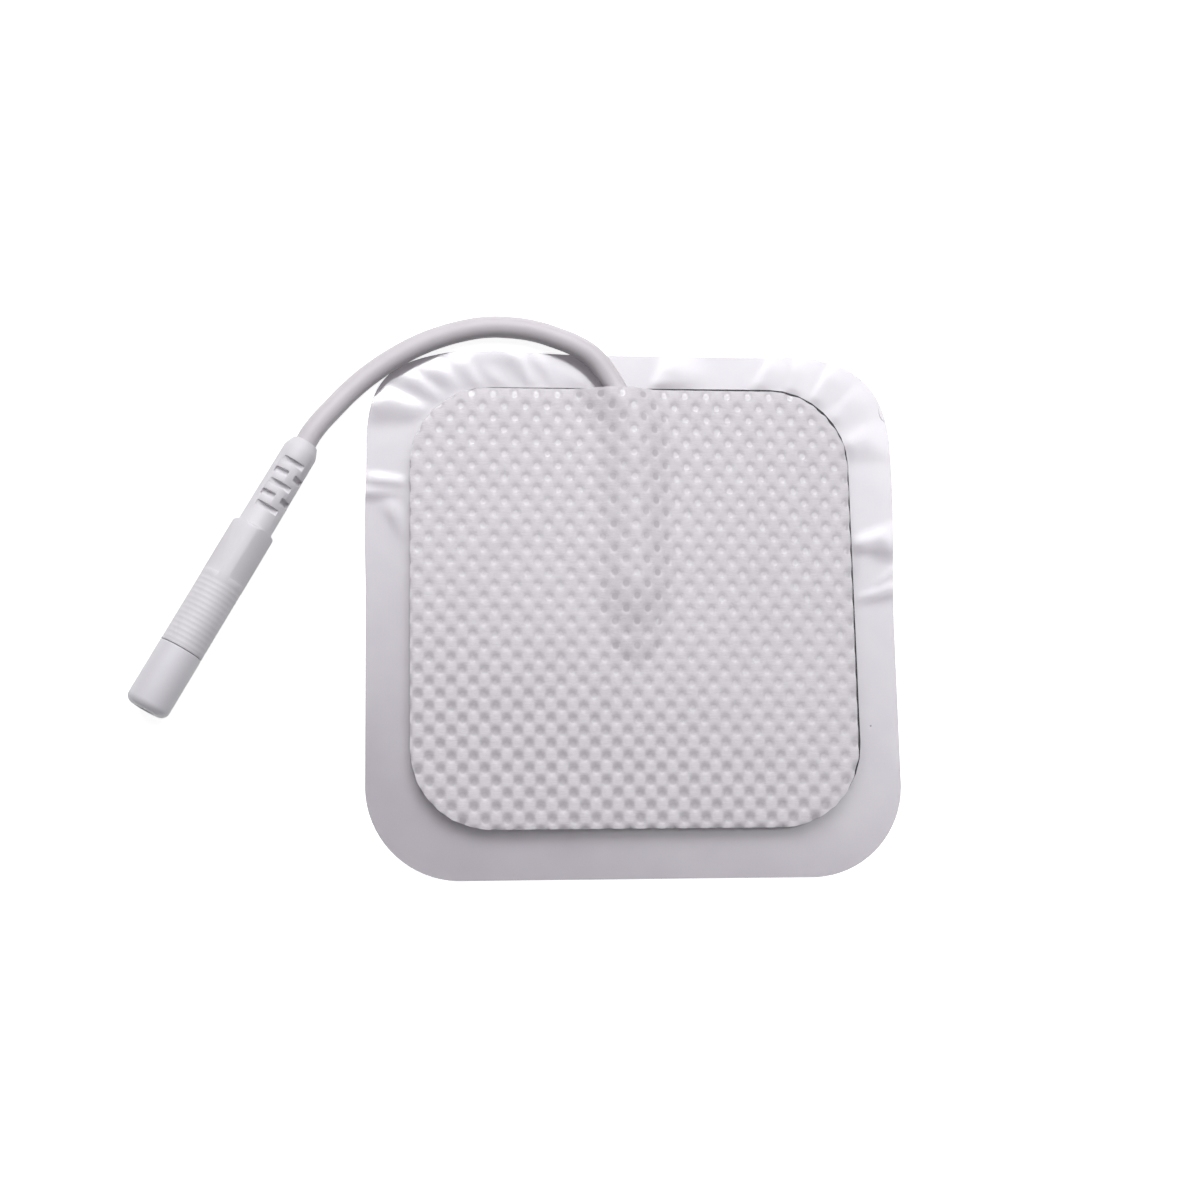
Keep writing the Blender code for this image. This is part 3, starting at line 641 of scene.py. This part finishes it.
def model_nose():
    """The rigid sleeve: smooth, with a rounded end and the mouth of the socket."""
    profile = [
        (1.85, SPIGOT_END),
        (1.85, NOSE_LENGTH),
        (2.32, NOSE_LENGTH),
        *arc(BARREL_RADIUS - 0.15, NOSE_LENGTH - 0.15, 0.15, 80, 0, 4),
        *arc(BARREL_RADIUS - NOSE_ROUNDING, NOSE_ROUNDING, NOSE_ROUNDING, 0, -90, 12),
        (1.27, 0.0),
        (1.19, 0.03),
        (1.12, 0.15),
        (1.12, 1.2),
        (1.53, 1.2),
        (1.53, SPIGOT_END),
    ]
    nose = turned("nose_sleeve_moulding", profile)
    shade(nose, 40)
    on_connector(nose)
    return nose


# Finishes


def colour(code):
    """An sRGB hex colour as linear RGBA."""
    channels = [int(code[i : i + 2], 16) / 255 for i in (1, 3, 5)]
    return (*[c / 12.92 if c <= 0.04045 else ((c + 0.055) / 1.055) ** 2.4 for c in channels], 1.0)


def new_finish(name):
    material = bpy.data.materials.new(name)
    material.use_nodes = True
    tree = material.node_tree
    return material, tree, tree.nodes["Principled BSDF"]


def add_node(tree, kind, values=None, links=None, **options):
    """Adds a shader node with its options, its sockets' values and the outputs that feed it."""
    node = tree.nodes.new("ShaderNode" + kind)
    for option, value in options.items():
        setattr(node, option, value)
    for socket, value in (values or {}).items():
        node.inputs[socket].default_value = value
    for socket, source in (links or {}).items():
        tree.links.new(source, node.inputs[socket])
    return node


def two_colours(tree, source, low, high, first, second):
    """Turns a value between low and high into a blend of two colours."""
    ramp = add_node(tree, "ValToRGB", links={"Fac": source})
    ramp.color_ramp.elements[0].position, ramp.color_ramp.elements[1].position = low, high
    ramp.color_ramp.elements[0].color, ramp.color_ramp.elements[1].color = colour(first), colour(second)
    return ramp.outputs["Color"]


def set_shader(shader, **values):
    for name, value in values.items():
        shader.inputs[name.replace("_", " ")].default_value = value


def lattice(tree, place, above):
    """Two waves along the lattice's directions, one cell long: 2 where they meet, at each bond
    point or a distance above it, and -2 at the crossings of the ridges."""
    shift = (-(PAD_X + BOND_SHIFT_X) * MM, -(PAD_Y + BOND_SHIFT_Y + above) * MM, 0)
    centred = add_node(tree, "Mapping", {"Location": shift}, {"Vector": place})
    waves = []
    for sign in (1, -1):
        step = (math.pi / (BOND_X * MM), sign * math.pi / (BOND_Y * MM), 0)
        phase = add_node(
            tree, "VectorMath", {1: step}, {0: centred.outputs["Vector"]}, operation="DOT_PRODUCT"
        )
        waves.append(add_node(tree, "Math", links={0: phase.outputs["Value"]}, operation="COSINE"))
    both = add_node(
        tree, "Math", links={0: waves[0].outputs[0], 1: waves[1].outputs[0]}, operation="ADD"
    )
    return both.outputs[0]


def spunbond_nonwoven():
    """Spunbond polypropylene, bonded by a heated engraved roller: matt felted fibres, and at each
    bond point a small patch of fused, glossier plastic."""
    material, tree, shader = new_finish("spunbond_polypropylene_nonwoven")
    link = tree.links.new
    place = add_node(tree, "TexCoord").outputs["Object"]
    bond = add_node(
        tree, "MapRange", {"From Min": 0.90, "From Max": 1.55}, {"Value": lattice(tree, place, 0.0)},
        interpolation_type="SMOOTHSTEP",
    )
    # Cloudy lay-down of the web, 2 to 4 mm, and fibre bundles, drawn about 0.15 mm wide
    clouds = add_node(tree, "TexNoise", {"Scale": 330, "Detail": 3, "Roughness": 0.6}, {"Vector": place})
    fibres = []
    for turn in (0.5, 1.4, 2.5):
        lay = add_node(
            tree, "Mapping", {"Rotation": (0, 0, turn), "Scale": (900, 6200, 3000)}, {"Vector": place}
        )
        fibres.append(
            add_node(
                tree, "TexNoise", {"Scale": 1.0, "Detail": 2, "Roughness": 0.55, "Distortion": 0.6},
                {"Vector": lay.outputs["Vector"]},
            )
        )
    pair = add_node(
        tree, "Math", links={0: fibres[0].outputs["Fac"], 1: fibres[1].outputs["Fac"]}, operation="MAXIMUM"
    )
    web = add_node(
        tree, "Math", links={0: pair.outputs[0], 1: fibres[2].outputs["Fac"]}, operation="MAXIMUM"
    )
    mottle = add_node(
        tree, "Math", {1: 0.45}, {0: clouds.outputs["Fac"], 2: web.outputs[0]}, operation="MULTIPLY_ADD"
    )
    cloth = two_colours(tree, mottle.outputs[0], 0.55, 1.05, "#cdc8cd", "#dcd8dc")
    # Painted shade: just above each bond point, where the pit's upper wall turns away from the light, the colour
    # is mixed towards a darker grey, and more so towards the lower left, where less light falls
    drawn = add_node(
        tree, "MapRange", {"From Min": -0.9, "From Max": 1.2}, {"Value": lattice(tree, place, 0.30)},
        interpolation_type="SMOOTHSTEP",
    )
    lower_left = add_node(
        tree, "VectorMath", {1: (-0.35 / MM, -0.94 / MM, 0)}, {0: place}, operation="DOT_PRODUCT"
    )
    lower_left_shade_strength = add_node(
        tree, "MapRange", {"From Min": 0.0, "From Max": 20.0, "To Min": 0.05, "To Max": 0.48},
        {"Value": lower_left.outputs["Value"]}, interpolation_type="SMOOTHSTEP",
    )
    painted_pit_shade = add_node(
        tree, "Math", links={0: drawn.outputs[0], 1: lower_left_shade_strength.outputs[0]}, operation="MULTIPLY"
    )
    fused = add_node(
        tree, "Mix", {7: colour("#c5c0c5")}, {0: bond.outputs[0], 6: cloth}, data_type="RGBA"
    )
    # The darker grey of the painted pit shade
    pit_shade_mix = add_node(
        tree, "Mix", {7: colour("#9c979c")}, {0: painted_pit_shade.outputs[0], 6: fused.outputs[2]}, data_type="RGBA"
    )
    link(pit_shade_mix.outputs[2], shader.inputs["Base Color"])
    satin = add_node(tree, "MapRange", {"To Min": 0.15, "To Max": 1.0}, {"Value": bond.outputs[0]})
    link(satin.outputs[0], shader.inputs["Coat Weight"])
    rough = add_node(
        tree, "MapRange", {"To Min": 0.82, "To Max": 0.30}, {"Value": bond.outputs[0]}
    )
    link(rough.outputs[0], shader.inputs["Roughness"])
    fuzz = add_node(tree, "MapRange", {"To Min": 1.0, "To Max": 0.15}, {"Value": bond.outputs[0]})
    bump = add_node(
        tree, "Bump", {"Distance": 0.035 * MM}, {"Height": web.outputs[0], "Strength": fuzz.outputs[0]}
    )
    link(bump.outputs["Normal"], shader.inputs["Normal"])
    set_shader(shader, Sheen_Weight=0.08, Sheen_Roughness=0.5, IOR=1.55, Coat_Roughness=0.26, Coat_IOR=1.6)
    return material


def siliconised_release_film():
    """Extruded polyester film with a silicone coat: clear gloss over a faintly milky sheet, with
    drawing lines that soften its reflections."""
    material, tree, shader = new_finish("siliconised_polyester_film")
    place = add_node(tree, "TexCoord").outputs["Object"]
    drawn = add_node(tree, "Mapping", {"Scale": (60, 900, 60)}, {"Vector": place})
    lines = add_node(
        tree, "TexNoise", {"Scale": 1.0, "Detail": 3, "Roughness": 0.5}, {"Vector": drawn.outputs["Vector"]}
    )
    haze = add_node(tree, "TexNoise", {"Scale": 160, "Detail": 2, "Roughness": 0.5}, {"Vector": place})
    milk = two_colours(tree, haze.outputs["Fac"], 0.3, 0.7, "#d1cbd2", "#d7d2d8")
    # A painted shade line along a small crescent nick at the upper right, and a real dark speck at the lower
    # right
    far = [
        add_node(
            tree, "VectorMath", {1: (x * MM, y * MM, (LINER_AIR + LINER_THICKNESS) * MM)}, {0: place}, operation="DISTANCE"
        ).outputs["Value"]
        for x, y in ((30.87, 23.74), (31.08, 23.87), (26.8, -13.1))
    ]
    inner = add_node(tree, "Math", {1: 1.60 * MM}, {0: far[0]}, operation="LESS_THAN")
    outer = add_node(tree, "Math", {1: 1.77 * MM}, {0: far[1]}, operation="GREATER_THAN")
    speck = add_node(tree, "Math", {1: 0.09 * MM}, {0: far[2]}, operation="LESS_THAN")
    crease_shade_and_speck = add_node(
        tree, "Math", links={0: inner.outputs[0], 1: outer.outputs[0], 2: speck.outputs[0]},
        operation="MULTIPLY_ADD",
    )
    crease_shade_and_speck_mix = add_node(
        tree, "Mix", {7: colour("#5f5b62")}, {0: crease_shade_and_speck.outputs[0], 6: milk}, data_type="RGBA"
    )
    tree.links.new(crease_shade_and_speck_mix.outputs[2], shader.inputs["Base Color"])
    rough = add_node(tree, "MapRange", {"To Min": 0.10, "To Max": 0.17}, {"Value": lines.outputs["Fac"]})
    tree.links.new(rough.outputs[0], shader.inputs["Roughness"])
    bump = add_node(
        tree, "Bump", {"Distance": 0.02 * MM, "Strength": 0.25}, {"Height": lines.outputs["Fac"]}
    )
    tree.links.new(bump.outputs["Normal"], shader.inputs["Normal"])
    set_shader(
        shader, IOR=1.58, Transmission_Weight=0.45, Coat_Weight=1.0, Coat_Roughness=0.12, Coat_IOR=1.80
    )
    return material


def cured_hydrogel():
    """Cast hydrogel: wet, clear and faintly bluish, with small trapped bubbles."""
    material, tree, shader = new_finish("cured_hydrogel")
    place = add_node(tree, "TexCoord").outputs["Object"]
    cells = add_node(tree, "TexVoronoi", {"Scale": 900, "Randomness": 1.0}, {"Vector": place})
    tint = two_colours(tree, cells.outputs["Distance"], 0.05, 0.35, "#e6eae9", "#d5dad9")
    tree.links.new(tint, shader.inputs["Base Color"])
    bump = add_node(
        tree, "Bump", {"Distance": 0.03 * MM, "Strength": 0.3}, {"Height": cells.outputs["Distance"]}
    )
    tree.links.new(bump.outputs["Normal"], shader.inputs["Normal"])
    set_shader(shader, Roughness=0.12, IOR=1.38, Transmission_Weight=0.55)
    return material


def carbon_filled_film():
    """Carbon-filled vinyl film, calendered: deep grey, with a dull, slightly grained face."""
    material, tree, shader = new_finish("carbon_filled_film")
    place = add_node(tree, "TexCoord").outputs["Object"]
    grain = add_node(tree, "TexNoise", {"Scale": 5000, "Detail": 4, "Roughness": 0.6}, {"Vector": place})
    soot = two_colours(tree, grain.outputs["Fac"], 0.35, 0.65, "#1c1b1d", "#353336")
    tree.links.new(soot, shader.inputs["Base Color"])
    bump = add_node(
        tree, "Bump", {"Distance": 0.01 * MM, "Strength": 0.5}, {"Height": grain.outputs["Fac"]}
    )
    tree.links.new(bump.outputs["Normal"], shader.inputs["Normal"])
    set_shader(shader, Roughness=0.55, IOR=1.5)
    return material


def moulded_plastic(name, first, second, roughness, grain_scale, grain_height, soft):
    """A white moulding: faint flow clouds in its colour and the fine grain of its mould."""
    material, tree, shader = new_finish(name)
    place = add_node(tree, "TexCoord").outputs["Object"]
    flow = add_node(tree, "TexNoise", {"Scale": 190, "Detail": 2, "Roughness": 0.5}, {"Vector": place})
    grain = add_node(
        tree, "TexNoise", {"Scale": grain_scale, "Detail": 3, "Roughness": 0.6}, {"Vector": place}
    )
    tree.links.new(
        two_colours(tree, flow.outputs["Fac"], 0.3, 0.7, first, second), shader.inputs["Base Color"]
    )
    rough = add_node(
        tree, "MapRange", {"To Min": roughness - 0.05, "To Max": roughness + 0.05},
        {"Value": grain.outputs["Fac"]},
    )
    tree.links.new(rough.outputs[0], shader.inputs["Roughness"])
    bump = add_node(
        tree, "Bump", {"Distance": grain_height * MM, "Strength": 0.6}, {"Height": grain.outputs["Fac"]}
    )
    tree.links.new(bump.outputs["Normal"], shader.inputs["Normal"])
    set_shader(
        shader, IOR=1.52, Subsurface_Weight=soft, Subsurface_Radius=(1, 0.95, 0.95), Subsurface_Scale=0.6 * MM
    )
    return material


def turned_brass():
    """Brass turned on a lathe and drawn: warm metal with fine rings round its axis."""
    material, tree, shader = new_finish("turned_brass")
    place = add_node(tree, "TexCoord").outputs["Object"]
    axis = connector_axis()
    along = add_node(
        tree, "VectorMath", {1: (axis.x * 9000, axis.y * 9000, 0)}, {0: place}, operation="DOT_PRODUCT"
    )
    rings = add_node(
        tree, "TexNoise", {"Scale": 1.0, "Detail": 2}, {"W": along.outputs["Value"]}, noise_dimensions="1D"
    )
    tree.links.new(
        two_colours(tree, rings.outputs["Fac"], 0.3, 0.7, "#c39c55", "#d8b872"), shader.inputs["Base Color"]
    )
    bump = add_node(
        tree, "Bump", {"Distance": 0.01 * MM, "Strength": 0.5}, {"Height": rings.outputs["Fac"]}
    )
    tree.links.new(bump.outputs["Normal"], shader.inputs["Normal"])
    set_shader(shader, Metallic=1.0, Roughness=0.28)
    return material


def tinned_copper_strands():
    """Fine copper wires, dipped in tin: silver-grey metal with warm scuffs."""
    material, tree, shader = new_finish("tinned_copper_strands")
    place = add_node(tree, "TexCoord").outputs["Object"]
    scuffs = add_node(tree, "TexNoise", {"Scale": 2500, "Detail": 3}, {"Vector": place})
    tree.links.new(
        two_colours(tree, scuffs.outputs["Fac"], 0.35, 0.75, "#c9c6c2", "#b98f6d"),
        shader.inputs["Base Color"],
    )
    rough = add_node(tree, "MapRange", {"To Min": 0.25, "To Max": 0.42}, {"Value": scuffs.outputs["Fac"]})
    tree.links.new(rough.outputs[0], shader.inputs["Roughness"])
    set_shader(shader, Metallic=1.0)
    return material


def give(piece, material):
    """Gives a piece one finish in place of any it has."""
    slots = piece.data.materials
    slots.clear()
    slots.append(material)


# Surroundings


def lay_floor():
    """A plain white table. What looks at it directly sees white, apart from deep shadow."""
    start_fresh()
    bpy.ops.mesh.primitive_plane_add(size=6.0)
    floor = named("floor")
    material, tree, shader = new_finish("white_table")
    set_shader(shader, Base_Color=colour("#c9c9c9"), Roughness=0.9, IOR=1.3)
    seen = add_node(tree, "LightPath")
    direct = add_node(
        tree, "Math", links={0: seen.outputs["Is Camera Ray"], 1: seen.outputs["Is Glossy Ray"]},
        operation="ADD",
    )
    looks = add_node(
        tree, "Math", links={0: direct.outputs[0], 1: seen.outputs["Is Transmission Ray"]},
        operation="ADD", use_clamp=True,
    )
    share = add_node(tree, "Math", {1: 0.85}, {0: looks.outputs[0]}, operation="MULTIPLY")
    glow = add_node(tree, "Emission", {"Color": (1, 1, 1, 1)}, {"Strength": share.outputs[0]})
    total = add_node(tree, "AddShader", links={0: shader.outputs[0], 1: glow.outputs[0]})
    tree.links.new(total.outputs[0], tree.nodes["Material Output"].inputs["Surface"])
    give(floor, material)


def add_window(name, place, size, watts):
    """A rectangular soft light that faces the pad."""
    start_fresh()
    bpy.ops.object.light_add(type="AREA", location=place)
    lamp = bpy.context.object
    lamp.name = name
    lamp.data.shape = "RECTANGLE"
    lamp.data.size, lamp.data.size_y = size
    lamp.data.energy = watts
    lamp.rotation_euler = (Vector((0, 0, 0)) - Vector(place)).to_track_quat("-Z", "Y").to_euler()


def glow_from(tree, direction, low, high, strength):
    """A soft round glow in the sky: its strength at one direction, fading to nothing round it."""
    place = add_node(tree, "TexCoord").outputs["Generated"]
    length = math.sqrt(sum(part * part for part in direction))
    unit = [part / length for part in direction]
    near = add_node(tree, "VectorMath", {1: unit}, {0: place}, operation="DOT_PRODUCT")
    return add_node(
        tree, "MapRange", {"From Min": low, "From Max": high, "To Max": strength},
        {"Value": near.outputs["Value"]}, interpolation_type="SMOOTHSTEP",
    ).outputs[0]


def light_up():
    """A window beyond the pad's upper edge, a bright ceiling that fades towards the person who
    takes the picture, and a little light from all sides."""
    add_window("window", (-0.06, 0.235, 0.285), (0.34, 0.22), 0.83)
    world = bpy.data.worlds.new("soft_room")
    bpy.context.scene.world = world
    world.use_nodes = True
    tree = world.node_tree
    tree.nodes.clear()
    ceiling = glow_from(tree, (0.248, 0.445, 1.0), 0.919, 0.948, 3.6)
    person = glow_from(tree, (0.038, -0.036, 1.0), 0.909, 1.017, -0.95)
    dimmed = add_node(tree, "Math", {1: 1.0}, {0: person}, operation="ADD")
    level = add_node(tree, "Math", {1: 0.235}, {0: ceiling}, operation="ADD")
    strength = add_node(tree, "Math", links={0: level.outputs[0], 1: dimmed.outputs[0]}, operation="MULTIPLY")
    seen = add_node(tree, "LightPath")
    room = add_node(
        tree, "Background", {"Color": (0.97, 0.97, 1.0, 1)}, {"Strength": strength.outputs[0]}
    )
    backdrop = add_node(tree, "Background", {"Color": (1, 1, 1, 1), "Strength": 1.0})
    mixed = add_node(
        tree, "MixShader", links={
            0: seen.outputs["Is Camera Ray"], 1: room.outputs[0], 2: backdrop.outputs[0],
        },
    )
    add_node(tree, "OutputWorld", links={"Surface": mixed.outputs[0]})


# The scene

set_up_camera()
lead, route = model_lead()
backing = model_backing()
gel = model_gel(route)
liner = model_liner(route)
body = model_connector_body()
nose = model_nose()

nonwoven = spunbond_nonwoven()
release_film = siliconised_release_film()
hydrogel = cured_hydrogel()
carbon_film = carbon_filled_film()
vinyl = moulded_plastic("extruded_soft_vinyl", "#ccc7cb", "#d2cdd1", 0.50, 2200, 0.006, 0.15)
soft_moulding = moulded_plastic("injection_moulded_soft_vinyl", "#d7d4d8", "#dcd9dd", 0.48, 6000, 0.012, 0.15)
rigid_moulding = moulded_plastic("injection_moulded_polypropylene", "#d2d0d5", "#d8d6da", 0.40, 3500, 0.005, 0.10)
brass = turned_brass()
strands = tinned_copper_strands()

for piece, node, slot, material in (
    (lead, "lead_cord", "lead_insulation", vinyl),
    (backing, "backing_fabric", "nonwoven", nonwoven),
    (gel, "hydrogel", "gel", hydrogel),
    (liner, "release_liner", "liner_film", release_film),
    (body, "connector_body", "connector_moulding", soft_moulding),
    (nose, "nose_sleeve", "connector_sleeve", rigid_moulding),
):
    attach(piece, "root")
    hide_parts(node)
    give(piece, material)
for node, material in (
    ("carbon_film", carbon_film), ("strand_fan", strands), ("conductor_tail", strands),
    ("socket_contact", brass),
):
    give(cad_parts[node], material)

lay_floor()
light_up()
bpy.context.scene.view_settings.view_transform = "Standard"

bpy.context.view_layer.update()
